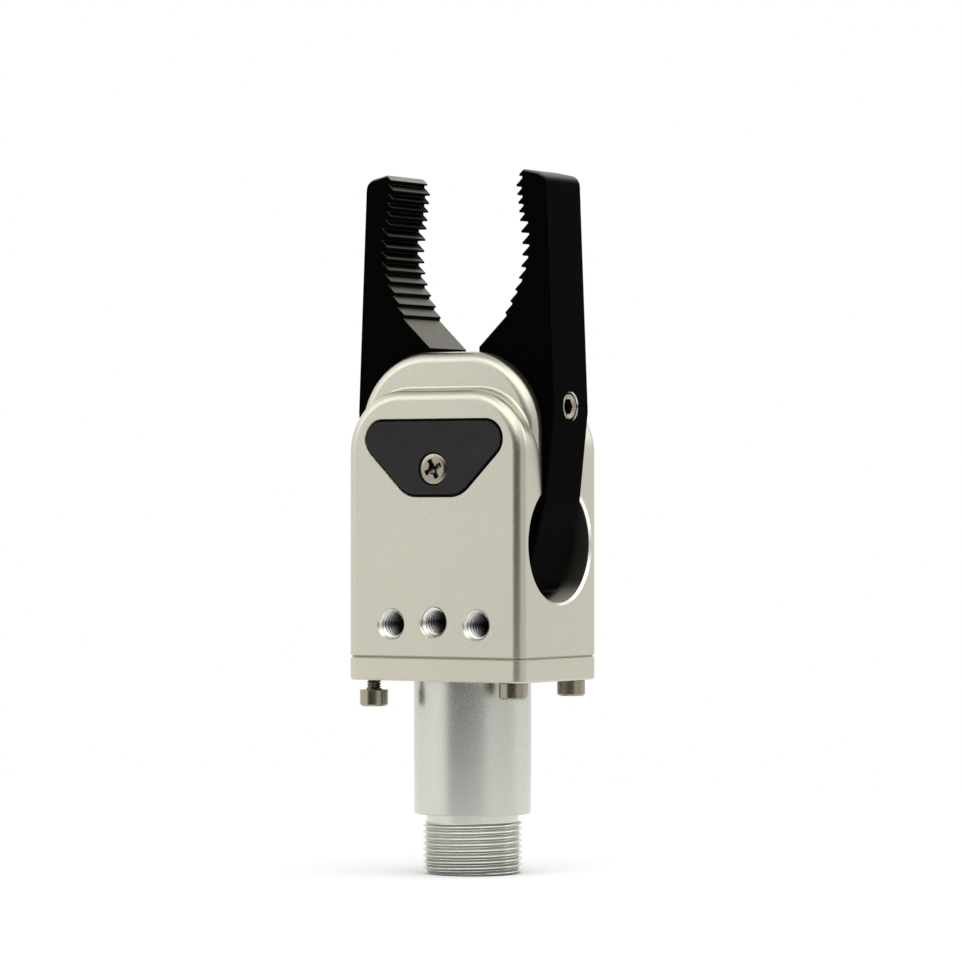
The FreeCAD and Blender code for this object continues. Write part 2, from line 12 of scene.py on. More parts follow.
import bmesh
import bpy
import numpy as np
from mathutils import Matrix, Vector


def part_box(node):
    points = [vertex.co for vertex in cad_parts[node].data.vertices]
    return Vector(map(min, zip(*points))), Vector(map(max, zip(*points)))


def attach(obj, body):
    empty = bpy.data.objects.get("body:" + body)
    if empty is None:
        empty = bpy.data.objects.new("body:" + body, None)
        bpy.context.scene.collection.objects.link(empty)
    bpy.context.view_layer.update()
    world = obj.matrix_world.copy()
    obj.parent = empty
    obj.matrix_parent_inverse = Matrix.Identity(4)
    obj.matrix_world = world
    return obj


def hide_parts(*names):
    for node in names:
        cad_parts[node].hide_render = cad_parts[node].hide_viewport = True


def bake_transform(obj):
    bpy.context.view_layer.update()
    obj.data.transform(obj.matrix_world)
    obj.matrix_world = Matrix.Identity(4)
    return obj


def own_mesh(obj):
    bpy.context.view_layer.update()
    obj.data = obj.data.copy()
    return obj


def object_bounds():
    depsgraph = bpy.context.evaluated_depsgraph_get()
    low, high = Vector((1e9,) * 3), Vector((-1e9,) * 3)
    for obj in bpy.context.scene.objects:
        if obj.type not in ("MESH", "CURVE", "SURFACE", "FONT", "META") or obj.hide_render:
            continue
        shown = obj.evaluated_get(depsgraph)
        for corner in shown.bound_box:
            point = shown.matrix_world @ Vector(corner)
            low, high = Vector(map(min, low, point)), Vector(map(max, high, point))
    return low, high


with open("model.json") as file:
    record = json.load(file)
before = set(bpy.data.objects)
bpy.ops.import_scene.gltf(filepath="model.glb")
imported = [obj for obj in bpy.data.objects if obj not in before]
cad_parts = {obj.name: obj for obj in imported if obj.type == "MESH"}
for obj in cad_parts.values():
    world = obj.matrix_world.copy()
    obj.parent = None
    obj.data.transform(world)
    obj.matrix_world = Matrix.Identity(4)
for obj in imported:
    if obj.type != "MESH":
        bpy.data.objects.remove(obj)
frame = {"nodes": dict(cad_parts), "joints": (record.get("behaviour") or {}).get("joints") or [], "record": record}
cad_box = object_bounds()
nodes = frame["nodes"]
mounts = {mount["name"]: mount for mount in frame["record"]["mounts"]}
joints = {joint["name"]: joint for joint in frame["joints"]}
MM = 0.001


def in_mm(box):
    """The two corners of a box, in millimetres."""
    return [corner / MM for corner in box]


print("nodes", len(nodes), "box in mm", [round(c, 2) for corner in in_mm(cad_box) for c in corner])

# %% [markdown]
# ## The camera
# The photograph is taken from the front right, with a long lens held level, so upright edges stay
# parallel. A level camera keeps them parallel too. The picture is slid up or down with the lens shift,
# as on a view camera, and not by tilting.

# %% Place the camera
camera_azimuth = 32.11
camera_place = Vector((414.7, -658.3, 29.0)) * MM
camera_lens = 170.85
camera_sensor = 36.0
camera_rise = 0.030
camera_near_limit = 10.0 * MM

camera_data = bpy.data.cameras.new("camera")
camera_data.lens = camera_lens
camera_data.sensor_width = camera_sensor
camera_data.shift_y = camera_rise
camera_data.clip_start = camera_near_limit
camera = bpy.data.objects.new("camera", camera_data)
camera.location = camera_place
camera.rotation_euler = (math.radians(90), 0, math.radians(camera_azimuth))
bpy.context.scene.collection.objects.link(camera)
bpy.context.scene.camera = camera
print("camera", round(camera_place.length / MM), "mm from the origin")

# %% [markdown]
# ## Meshes from arrays
# Every new piece is a grid of points: one direction of the grid runs round the piece, the other along it.
# A grid could be filled point by point in a loop. Whole numpy arrays are shorter to read and much faster,
# and one function then joins neighbouring points into four sided faces.
# Shapes are worked out in millimetres. Finishes and lamps are in metres, as Blender has them.


# %% Helpers that turn grids of points into faces
def round_angles(count):
    """Equally spaced angles of one full turn, without the last one, which would repeat the first."""
    return np.linspace(0, 2 * math.pi, count, endpoint=False)


def polar_points(radius, angle, height):
    """Points round Z: (radius * cos of the angle, radius * sin of the angle, height)."""
    return np.stack([radius * np.cos(angle), radius * np.sin(angle), height], axis=-1)


def grid_faces(rows, columns, climb=0):
    """Faces between neighbours of a grid that closes on itself round its columns.

    Point (i, j) is number i * columns + j. Across the closing seam row i meets row i + climb,
    which lets a thread rise by that many rows in one turn.
    """
    i, j = np.meshgrid(np.arange(rows - 1), np.arange(columns), indexing="ij")
    meeting_row = i + np.where(j == columns - 1, climb, 0)
    here = i * columns + j
    beside = meeting_row * columns + (j + 1) % columns
    quads = np.stack([here, beside, beside + columns, here + columns], axis=-1)
    return quads[meeting_row < rows - 1]


def turned_grid(profile, columns):
    """Surface of revolution about Z: point (i, j) lies at the radius and height of row i on angle j.

    A row's radius or height may also be one value per column, where the shape isn't quite round.
    """
    radii, heights = zip(*profile)
    radius = np.array([np.broadcast_to(row, columns) for row in radii], float)
    height = np.array([np.broadcast_to(row, columns) for row in heights], float)
    points = polar_points(radius, round_angles(columns), height)
    return points, grid_faces(len(points), columns)


def closing_ring(grid, row, radius, height):
    """Flat ring between one row of a grid and a circle of a given radius and height."""
    edge = grid[0][row]
    circle = polar_points(radius, round_angles(len(edge)), np.full(len(edge), height))
    return np.stack([edge, circle]), grid_faces(2, len(edge))


def point_along(grids, direction, origin):
    """Turns grids made about Z so that Z points along a direction, and moves them to an origin."""
    turn = np.array(Vector((0, 0, 1)).rotation_difference(Vector(direction)).to_matrix())
    return [(points @ turn.T + np.asarray(origin, float), quads) for points, quads in grids]


print("a ring of 3 by 12 points has", len(grid_faces(3, 12)), "faces")

# %% [markdown]
# Grids that meet share their rings of points. When those are merged, several grids become one closed
# skin, with every face looking outwards.

# %% Helper that makes a piece of the gripper
finish_of_slot = {}
same_place = 0.0005 * MM
usual_sharp_angle = 35.0
thread_sharp_angle = 25.0


def wear(piece, slot):
    """Gives a piece the finish of a material slot, in place of any finish it had."""
    piece.data.materials.clear()
    piece.data.materials.append(finish_of_slot[slot])


def make_piece(name, grids, body, slot, sharp_angle=usual_sharp_angle):
    """Mesh object from grids in millimetres, riding on a body and wearing the finish of a slot.

    A piece made with no body is attached to none.
    """
    starts = np.cumsum([0] + [points.size // 3 for points, quads in grids])
    points = np.concatenate([points.reshape(-1, 3) for points, quads in grids])
    faces = np.concatenate([quads + start for (grid_points, quads), start in zip(grids, starts)])
    mesh = bpy.data.meshes.new(name)
    mesh.from_pydata(points * MM, [], faces)
    skin = bmesh.new()
    skin.from_mesh(mesh)
    bmesh.ops.remove_doubles(skin, verts=skin.verts, dist=same_place)
    bmesh.ops.dissolve_degenerate(skin, edges=skin.edges, dist=same_place)
    bmesh.ops.recalc_face_normals(skin, faces=skin.faces)
    open_edges = sum(not edge.is_manifold for edge in skin.edges)
    skin.to_mesh(mesh)
    skin.free()
    mesh.shade_smooth()
    mesh.set_sharp_from_angle(angle=math.radians(sharp_angle))
    piece = bpy.data.objects.new(name, mesh)
    bpy.context.scene.collection.objects.link(piece)
    if body:
        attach(piece, body)
    wear(piece, slot)
    print(name, len(mesh.polygons), "faces,", open_edges, "open edges")
    return piece


print("pieces can be made once the finishes exist")

# %% [markdown]
# ## Shader maths
# A finish is a small network of nodes. Written out node by node it is hard to read, so one class wraps
# an output socket, and plain Python arithmetic on it adds the Math nodes.


# %% The class for shader expressions
class Signal:
    """An output socket of a node tree. Arithmetic with numbers or other signals adds Math nodes."""

    def __init__(self, tree, socket=None):
        self.tree = tree
        self.socket = socket

    def node(self, kind, settings=None, inputs=None, output=0):
        """Adds any node: its settings first, then values or links for its inputs. Returns one output."""
        made = self.tree.nodes.new(kind)
        for key, value in (settings or {}).items():
            setattr(made, key, value)
        for key, value in (inputs or {}).items():
            if isinstance(value, Signal):
                self.tree.links.new(value.socket, made.inputs[key])
            else:
                made.inputs[key].default_value = value
        return Signal(self.tree, made.outputs[output])

    def maths(self, operation, first, second=0.0):
        """Adds a Math node for one or two values, each a number or a signal."""
        return self.node("ShaderNodeMath", {"operation": operation}, {0: first, 1: second})

    def __add__(self, other):
        return self.maths("ADD", self, other)

    __radd__ = __add__

    def __sub__(self, other):
        return self.maths("SUBTRACT", self, other)

    def __rsub__(self, other):
        return self.maths("SUBTRACT", other, self)

    def __mul__(self, other):
        return self.maths("MULTIPLY", self, other)

    __rmul__ = __mul__

    def stepped(self, low, high):
        """The signal mapped from low..high to 0..1 in a soft step."""
        inputs = {"Value": self, "From Min": low, "From Max": high}
        return self.node("ShaderNodeMapRange", {"interpolation_type": "SMOOTHSTEP"}, inputs)

    def between(self, first, second):
        """Colour between two colours, with this signal as the share of the second."""
        return self.node("ShaderNodeMix", {"data_type": "RGBA"}, {0: self, 6: first, 7: second}, 2)

    def part(self, axis):
        """One coordinate of a vector: 0 is X, 1 is Y and 2 is Z."""
        return self.node("ShaderNodeSeparateXYZ", {}, {0: self}, axis)

    def along(self, direction):
        """How far a vector reaches along a direction."""
        product = {"operation": "DOT_PRODUCT"}
        return self.node("ShaderNodeVectorMath", product, {0: self, 1: direction}, "Value")


print("operators ready:", [name for name in ("add", "sub", "mul") if hasattr(Signal, f"__{name}__")])

# %% [markdown]
# Patterns are placed by Object coordinates. They are fixed to the piece, so they stay where they are
# when the camera moves or a jaw turns.


# %% Helpers for patterns
def new_finish(name):
    """A new material, a signal to start expressions from, and a function that sets its shader."""
    material = bpy.data.materials.new(name)
    material.use_nodes = True
    tree = material.node_tree
    shader = tree.nodes["Principled BSDF"]

    def surface(**inputs):
        """Sets the shader's inputs, each to a value or a signal."""
        for key, value in inputs.items():
            socket = shader.inputs[key.replace("_", " ")]
            if isinstance(value, Signal):
                tree.links.new(value.socket, socket)
            else:
                socket.default_value = value

    return material, Signal(tree), surface


def place_of(start):
    """Object coordinates, in metres."""
    return start.node("ShaderNodeTexCoord", {}, {}, "Object")


def noise(start, scale, detail):
    """Cloudy pattern between 0 and 1. The scale is in patches per metre."""
    inputs = {"Vector": place_of(start), "Scale": scale, "Detail": detail}
    return start.node("ShaderNodeTexNoise", {}, inputs)


def bumped(start, height, distance):
    """Direction of a surface with small hills: a height from 0 to 1, times a distance in metres."""
    return start.node("ShaderNodeBump", {}, {"Strength": 1.0, "Distance": distance, "Height": height})


def uneven_gloss(cloud, grain, cloud_gloss, grain_gloss):
    """Change of roughness: (cloud - half) * its share + (grain - half) * its share."""
    return (cloud - 0.5) * cloud_gloss + (grain - 0.5) * grain_gloss


def grey(level):
    """A grey colour."""
    return (level, level, level, 1.0)


def shade(colour, share):
    """A colour made darker, with its alpha kept."""
    return tuple(channel * share for channel in colour[:3]) + (1.0,)


noise_middle = (0.3, 0.7)
fine_detail = 2.0
broad_detail = 4.0
print("pattern helpers ready")

# %% [markdown]
# Grooves and holes get painted shade: their colour is made darker, where less light would reach. How far a
# place lies inside one is measured by ambient occlusion: the share of short rays from it that meet nothing.

# %% Helpers for painted shade in grooves and holes
openness_samples = 8
groove_openness = (0.75, 0.25)
hole_openness = (0.45, 0.15)
hole_reach = 8.0 * MM


def openness(start, reach, only_local=False):
    """Share of the rays of a length that meet nothing: 1 in the open, 0 at the bottom of a hole."""
    settings = {"samples": openness_samples, "only_local": only_local}
    return start.node("ShaderNodeAmbientOcclusion", settings, {"Distance": reach}, "AO")


def painted_hollow_shade(start, reach):
    """Mask of painted shade: 1 at the bottom of a deep hole, or of a groove narrower than the reach, 0 in the
    open.
    """
    narrow = openness(start, reach).stepped(*groove_openness)
    deep = openness(start, hole_reach).stepped(*hole_openness)
    return start.maths("MAXIMUM", narrow, deep)


print("the walls of a hole are looked for within", round(hole_reach / MM), "mm")

# %% [markdown]
# ## Finishes
# The housing is bead blasted and clear anodised aluminium: a satin metal, a little warm, with a fine
# grain. A plain grey would look like plastic. Here a fine noise and a coarser mottle make the grain, and
# a broad cloud keeps the colour and the gloss from being the same all over. Narrow grooves and deep holes
# get painted shade: their colour is darkened.
# Three places differ. The bore that crosses the housing is milled: its floor is dull, and the chamfers
# at its mouths get a painted highlight, a near white colour. The thread on the shank is cut after
# blasting, so it is smoother.
# All three are told by where they lie. The threads in the holes have a finish of their own.

# %% Anodised aluminium of the housing, the plate and the shank
side_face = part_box("housing")[1].x
cross_bore_height = 23.2 * MM
cross_bore_radius = 10.0 * MM
cross_bore_chamfer = 0.4 * MM
bore_floor_depths = (-6.0 * MM, -9.5 * MM)
bore_floor_dullness = 0.38
bore_wall_dullness = 0.02
cut_thread_top = -23.0 * MM
cut_thread_fade = 0.1 * MM
cut_thread_polish = 0.10
hair = 0.03 * MM
blast_grain_scale = 4200.0
blast_mottle_scale = 1700.0
blast_cloud_scale = 55.0
blast_cloud_gloss = 0.05
blast_cloud_shade = 0.95
blast_groove_reach = 0.6 * MM
broad_share = 0.7
# Near white colour of the painted highlight on the cross bore's chamfers
chamfer_highlight_colour = (0.95, 0.94, 0.90, 1.0)


def blasted_aluminium(name, colour, roughness, grain_height, grain_gloss, groove_shade):
    """Satin aluminium: grain of a height in metres, painted shade in grooves, painted highlight on bore chamfers.
    """
    material, start, surface = new_finish(name)
    place = place_of(start)
    grain = noise(start, blast_grain_scale, fine_detail)
    mottle = noise(start, blast_mottle_scale, fine_detail)
    cloud = noise(start, blast_cloud_scale, broad_detail)
    patches = (cloud * broad_share + grain * (1 - broad_share)).stepped(*noise_middle)
    tone = patches.between(colour, shade(colour, blast_cloud_shade))
    above_axis = place.part(2) - cross_bore_height
    from_axis = start.maths("SQRT", place.part(1) * place.part(1) + above_axis * above_axis)
    milled = from_axis.stepped(cross_bore_radius + 2 * hair, cross_bore_radius + hair)
    dull = above_axis.stepped(*bore_floor_depths) * bore_floor_dullness + bore_wall_dullness
    chamfer_edge = cross_bore_radius + cross_bore_chamfer
    chamfer_start = side_face - cross_bore_chamfer
    # Mask of the painted highlight on the chamfers at the cross bore's mouths
    chamfer_highlight_mask = from_axis.stepped(cross_bore_radius, cross_bore_radius + hair)
    chamfer_highlight_mask = chamfer_highlight_mask * from_axis.stepped(chamfer_edge + hair, chamfer_edge)
    outermost = start.maths("ABSOLUTE", place.part(0)).stepped(chamfer_start - hair, chamfer_start)
    cut = place.part(2).stepped(cut_thread_top + cut_thread_fade, cut_thread_top - cut_thread_fade)
    # Painted shade: grooves and holes darkened to a share of the colour
    tone_with_painted_shade = painted_hollow_shade(start, blast_groove_reach).between(tone, shade(colour, groove_shade))
    uneven = uneven_gloss(cloud, grain, blast_cloud_gloss, grain_gloss)
    hills = mottle * broad_share + grain * (1 - broad_share)
    surface(
        Base_Color=(chamfer_highlight_mask * outermost).between(tone_with_painted_shade, chamfer_highlight_colour),
        Metallic=1.0,
        Roughness=roughness + uneven + milled * dull - cut * cut_thread_polish,
        Normal=bumped(start, hills * (1.0 - cut), grain_height),
    )
    return material


finish_of_slot.update(
    anodised_aluminium=blasted_aluminium(
        "blasted housing", (0.600, 0.580, 0.485, 1.0),
        roughness=0.30, grain_height=0.026 * MM, grain_gloss=0.08, groove_shade=0.10),
    shank_aluminium=blasted_aluminium(
        "blasted shank", (0.615, 0.625, 0.570, 1.0),
        roughness=0.27, grain_height=0.0006 * MM, grain_gloss=0.04, groove_shade=0.50),
    piston_aluminium=blasted_aluminium(
        "blasted piston", (0.660, 0.660, 0.650, 1.0),
        roughness=0.30, grain_height=0.0015 * MM, grain_gloss=0.08, groove_shade=0.35),
)
tapped_finish = blasted_aluminium(
    "tapped thread", (0.800, 0.790, 0.740, 1.0),
    roughness=0.33, grain_height=0.001 * MM, grain_gloss=0.04, groove_shade=0.03)
print("finishes", list(finish_of_slot))

# %% [markdown]
# The jaws are steel with a black oxide skin. The skin is thin: on sharp edges and on the gripping faces
# it wears off, and grey steel shows. On the edges the grey is kept to those that look up, so it is also
# a painted highlight. An edge is found by comparing the surface's direction with that of a slightly
# rounded copy of it: on a flat they agree, at an edge they don't.
# A gripping face is one that looks up and inwards. It is grey where no neighbouring tooth shelters it:
# all over on the lower teeth, where round work is held, and only along the tips higher up. Where a tooth
# shelters it, it is kept black as painted shade.
# The slanted top of each jaw gets a painted sheen of grey.

# %% Wear and painted light on the jaws
tooth_side = (16.5 * MM, 15.0 * MM)
toothed_heights = (56.0 * MM, 58.0 * MM)
most_used_heights = (72.0 * MM, 66.0 * MM)
top_heights = (83.2 * MM, 84.0 * MM)
tip_heights = (84.7 * MM, 85.0 * MM)
looks_inward = (-1.0 * MM, -3.0 * MM)
looks_outward = (0.0, 2.0 * MM)
edge_round = 0.16 * MM
edge_round_samples = 6
edge_bend = (0.02, 0.14)
# Only edges that look up turn grey: wear, and a painted highlight from above
edge_tilt = (0.05, 0.30)
edge_mark_share = 0.85
face_tilt = (0.35, 0.60)
face_openness = (0.45, 0.80)
# Faces sheltered by a neighbouring tooth stay black: painted shade
shelter_reach = 1.4 * MM
upper_shelter = 0.36
# Grey on the slanted top of a jaw: a painted sheen
top_tilt = (0.25, 0.85)
top_sheen_share = 0.45
mark_patches = (0.1, 0.5)
mark_patchiness = 0.25
print("worn from", round(toothed_heights[0] / MM), "to", round(tip_heights[1] / MM), "mm")

# %% [markdown]
# Each kind of wear is a mask between 0 and 1. The strongest of them wins at every place.

# %% Black oxide steel of the jaws
oxide_black = (0.0012, 0.0012, 0.0011, 1.0)
# Grey of wear, painted highlight and painted sheen; lighter at the tips
lit_and_rubbed_steel = (0.150, 0.144, 0.112, 1.0)
tip_steel_lit_and_rubbed = (0.300, 0.290, 0.240, 1.0)
oxide_grain_scale = 6000.0
oxide_grain_detail = 3.0
oxide_grain_height = 0.004 * MM
oxide_grain_gloss = 0.10
oxide_cloud_scale = 240.0
oxide_cloud_gloss = 0.16
oxide_roughness = 0.42
oxide_shine = 0.006


def black_steel(name):
    """Black skin with grey steel: wear and painted highlight on edges, wear and painted shade on faces, painted
    sheen on top.
    """
    material, start, surface = new_finish(name)
    place = place_of(start)
    height = place.part(2)
    grain = noise(start, oxide_grain_scale, oxide_grain_detail)
    cloud = noise(start, oxide_cloud_scale, broad_detail)
    facing = start.node("ShaderNodeTexCoord", {}, {}, "Normal")
    straight = start.node("ShaderNodeNewGeometry", {}, {}, "Normal")
    rounded = start.node("ShaderNodeBevel", {"samples": edge_round_samples}, {"Radius": edge_round})
    tip = height.stepped(*tip_heights)
    toothed = start.maths("ABSOLUTE", place.part(0)).stepped(*tooth_side)
    used_end = start.maths("MAXIMUM", toothed, tip) * height.stepped(*toothed_heights)
    bent = (1.0 - straight.along(rounded)).stepped(*edge_bend)
    # Edges: wear, and a painted highlight where they look up
    edge_highlight_and_wear = bent * rounded.part(2).stepped(*edge_tilt) * used_end * edge_mark_share
    from_middle = facing.part(0) * place.part(0)
    most_used = start.maths("MAXIMUM", height.stepped(*most_used_heights), tip)
    # Gripping faces: wear, kept black as painted shade where a tooth shelters them
    open_to_light = openness(start, shelter_reach, only_local=True) - (1.0 - most_used) * upper_shelter
    face_shade_and_wear = from_middle.stepped(*looks_inward) * facing.part(2).stepped(*face_tilt)
    face_shade_and_wear = face_shade_and_wear * open_to_light.stepped(*face_openness)
    # Slanted top: a painted sheen
    top_painted_sheen = from_middle.stepped(*looks_outward) * facing.part(2).stepped(*top_tilt)
    top_painted_sheen = top_painted_sheen * height.stepped(*top_heights) * top_sheen_share
    wear_light_mask = start.maths("MAXIMUM", start.maths("MAXIMUM", edge_highlight_and_wear, face_shade_and_wear), top_painted_sheen)
    patchy_wear_light = wear_light_mask * (cloud.stepped(*mark_patches) * mark_patchiness + (1.0 - mark_patchiness))
    surface(
        Base_Color=patchy_wear_light.between(oxide_black, tip.between(lit_and_rubbed_steel, tip_steel_lit_and_rubbed)),
        Metallic=patchy_wear_light,
        Roughness=oxide_roughness + uneven_gloss(cloud, grain, oxide_cloud_gloss, oxide_grain_gloss),
        Specular_IOR_Level=oxide_shine,
        Normal=bumped(start, grain, oxide_grain_height),
    )
    return material


finish_of_slot["black_steel"] = black_steel("black oxide steel")
print("finishes", list(finish_of_slot))

# %% [markdown]
# The remaining finishes are smaller: the cover's matt dark coat, nickel on the screws, ground steel,
# bronze, drawn wire and rubber. They share one recipe, each with a grain and a cloud of its own scale.

# %% Small finishes
cloud_per_grain = 0.04
cloud_shade = 0.85
small_cloud_gloss = 0.12
small_grain_gloss = 0.10
# Painted shade in recesses: within this reach the colour is darkened to a share of itself
recess_reach = 0.8 * MM
recess_shade = 0.05
metal = 1.0
no_metal = 0.0


def speckled(name, colour, metallic, roughness, grain_scale, grain_height, specular=0.5):
    """A finish with a fine grain, a broad change in its gloss and colour, and painted shade in recesses."""
    material, start, surface = new_finish(name)
    grain = noise(start, grain_scale, fine_detail)
    cloud = noise(start, grain_scale * cloud_per_grain, broad_detail)
    tone = cloud.stepped(*noise_middle).between(colour, shade(colour, cloud_shade))
    surface(
        Base_Color=painted_hollow_shade(start, recess_reach).between(tone, shade(colour, recess_shade)),
        Metallic=metallic,
        Roughness=roughness + uneven_gloss(cloud, grain, small_cloud_gloss, small_grain_gloss),
        Specular_IOR_Level=specular,
        Normal=bumped(start, grain, grain_height),
    )
    return material


coat_colour = (0.024, 0.022, 0.023, 1.0)
nickel_colour = (0.39, 0.345, 0.265, 1.0)
steel_colour = (0.56, 0.55, 0.52, 1.0)
wire_colour = (0.50, 0.50, 0.49, 1.0)
bronze_colour = (0.60, 0.40, 0.20, 1.0)
rubber_colour = grey(0.016)
# After the colour: metal or not, roughness, grains per metre, height of the grain, and shine.
finish_of_slot.update(
    dark_cover=speckled("matt dark coat", coat_colour, no_metal, 0.55, 5600.0, 0.005 * MM, 0.12),
    nickel_screw=speckled("nickel plate", nickel_colour, metal, 0.19, 3000.0, 0.002 * MM),
    ground_steel=speckled("ground steel", steel_colour, metal, 0.24, 6000.0, 0.002 * MM),
    spring_wire=speckled("drawn wire", wire_colour, metal, 0.30, 6000.0, 0.002 * MM),
    bronze=speckled("sintered bronze", bronze_colour, metal, 0.40, 7000.0, 0.008 * MM),
    seal_rubber=speckled("seal rubber", rubber_colour, no_metal, 0.55, 6000.0, 0.005 * MM),
)
for subpart in frame["record"]["subparts"]:
    wear(nodes[subpart["node"]], subpart["material_slot"])
print(len(finish_of_slot), "finishes on", len(nodes), "nodes")

# %% [markdown]
# ## The screw thread
# A thread is one groove that winds round: going once round the shank, it climbs by one pitch.
# It could be made with the Screw modifier, but then its two ends would stick out.
# Here the grid is sheared instead: each row follows the groove, and where a turn closes it meets the row
# one pitch higher. Heights past the two ends are held at the ends, where the rows fall together and are
# merged.

# %% The threaded surface
# Places along one pitch, and how deep the groove is there, as a share of its full depth.
thread_corners = np.array([0.0, 0.06, 0.42, 0.50, 0.58, 0.94])
thread_shares = np.array([1.0, 0.97, 0.06, 0.0, 0.06, 0.97])
thread_depth_of_pitch = 0.6134


def threaded_grid(crest, pitch, low, high, columns, inside=False, trim=None):
    """Threaded surface about Z from low to high, with a standard 60 degree profile.

    Radius = crest - depth * share. The share is 0 on the round crest and 1 in the root, with straight
    flanks, and depends on height / pitch - angle / full turn. An inside thread has its crest towards
    the axis. Trim is a function of radius and height that cuts the thread at a chamfer.
    """
    depth = -pitch * thread_depth_of_pitch if inside else pitch * thread_depth_of_pitch
    turns = round_angles(columns) / (2 * math.pi)
    pitches = np.arange(-1, math.ceil((high - low) / pitch) + 1)
    rise = (pitches[:, None] + thread_corners).reshape(-1, 1) * pitch
    height = np.clip(low + rise + pitch * turns, low, high)
    groove = ((height - low) / pitch - turns) % 1.0
    share = np.interp(groove, np.append(thread_corners, 1.0), np.append(thread_shares, thread_shares[0]))
    radius = crest - depth * share
    if trim is not None:
        radius = trim(radius, height)
    points = polar_points(radius, 2 * math.pi * turns, height)
    return points, grid_faces(len(points), columns, len(thread_corners))


def screw_grids(profile, crest, pitch, low, high, columns, trim=None):
    """Grids of a screw along Z: a turned head from its profile, then a thread from low to high."""
    thread = threaded_grid(crest, pitch, low, high, columns, trim=trim)
    return [
        turned_grid(profile, columns),
        closing_ring(thread, 0, crest, low),
        thread,
        closing_ring(thread, -1, 0.0, high),
    ]


print("one turn of thread has", len(thread_corners), "rows")

# %% [markdown]
# ## Shank with its fine thread
# The shank's lower end has a fine thread for a lock nut. CAD leaves it a plain cylinder at the thread's
# outer diameter, so the whole shank is made again: a turned profile for everything but the thread,
# and the threaded surface in between.

# %% Sizes of the shank
barrel_low, barrel_high = in_mm(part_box("cylinder_barrel"))
plug_high = in_mm(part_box("end_plug"))[1]
plate_low, plate_high = in_mm(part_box("base_plate"))
flange_low, flange_high = in_mm(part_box("guide_bush"))
piston_high = in_mm(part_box("piston"))[1]

shank_columns = 144
shank_radius = mounts["shank"]["dims"]["r_mm"]
shank_end = -mounts["shank"]["dims"]["length_mm"]
shank_chamfer = 0.2
thread_radius = mounts["shank_thread"]["dims"]["r_mm"]
thread_length = mounts["shank_thread"]["dims"]["length_mm"]
thread_top = mounts["shank_thread"]["pos_m"][2] / MM + thread_length / 2
thread_end = barrel_low.z
thread_pitch = 1.0
thread_chamfer = 0.4
neck_step = 0.4
bore_gap = 0.05
seat_gap = 0.02
plug_seat_depth = 5.0
relief_radius = thread_radius - thread_pitch * thread_depth_of_pitch
neck_radius = shank_radius + neck_step
bore_radius = piston_high.x + bore_gap
plug_seat_radius = plug_high.x + seat_gap
plug_seat = thread_end + plug_seat_depth
flange_seat_radius = flange_high.x + seat_gap
print("thread from", round(thread_end, 2), "to", round(thread_top, 2), "mm")

# %% [markdown]
# The profile starts where the thread ends, goes up the outside of the shank, and comes back down
# through its bore.


# %% Make the threaded shank
def end_chamfer(radius, height):
    """Holds the thread inside a cone that breaks the shank's lower edge."""
    return np.minimum(radius, thread_radius - thread_chamfer + (height - thread_end))


thread_grid = threaded_grid(
    thread_radius, thread_pitch, thread_end, thread_top, shank_columns, trim=end_chamfer)
barrel_profile = [
    (relief_radius, thread_top),
    (relief_radius, shank_end - shank_chamfer),
    (shank_radius - shank_chamfer, shank_end - shank_chamfer),
    (shank_radius, shank_end),
    (shank_radius, plate_low.z),
    (neck_radius, plate_low.z),
    (neck_radius, plate_high.z),
    (barrel_high.x, plate_high.z),
    (barrel_high.x, barrel_high.z),
    (flange_seat_radius, barrel_high.z),
    (flange_seat_radius, flange_low.z),
    (bore_radius, flange_low.z),
    (bore_radius, plug_seat),
    (plug_seat_radius, plug_seat),
    (plug_seat_radius, thread_end),
]
barrel_grids = [
    thread_grid,
    turned_grid(barrel_profile, shank_columns),
    closing_ring(thread_grid, -1, relief_radius, thread_top),
    closing_ring(thread_grid, 0, plug_seat_radius, thread_end),
]
barrel = make_piece("threaded_shank", barrel_grids, "gripper_body", "shank_aluminium", thread_sharp_angle)
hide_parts("cylinder_barrel")

# %% [markdown]
# ## Threads in the holes
# The three holes in the front and the air port below are tapped. CAD has plain holes of the thread's
# outer diameter. Cutting the housing again isn't needed: a thin threaded sleeve in each hole shows the
# same thing. Its first turn is cut back by a cone, as a countersink does.
# The slot of a sleeve says which metal it is cut in. The cut thread is brighter than the blasted metal
# round it, so each sleeve then gets the finish for threads.

# %% Make the thread sleeves
hole_pitch = 0.8
sleeve_columns = 72
mouth_slope = 0.8


def thread_sleeve(name, radius, inner_end, outward, length, body, slot):
    """Sleeve whose inside is a thread and whose outside is the hole's plain wall."""

    def mouth_cone(inside, height):
        """Radius of at least the mouth's radius - slope * depth below the mouth."""
        return np.maximum(inside, radius - mouth_slope * (length - height))

    crest = radius - hole_pitch * thread_depth_of_pitch
    inside = threaded_grid(crest, hole_pitch, 0.0, length, sleeve_columns, inside=True, trim=mouth_cone)
    grids = [
        inside,
        turned_grid([(radius, 0.0), (radius, length)], sleeve_columns),
        closing_ring(inside, 0, radius, 0.0),
        closing_ring(inside, -1, radius, length),
    ]
    return make_piece(name, point_along(grids, outward, inner_end), body, slot, thread_sharp_angle)


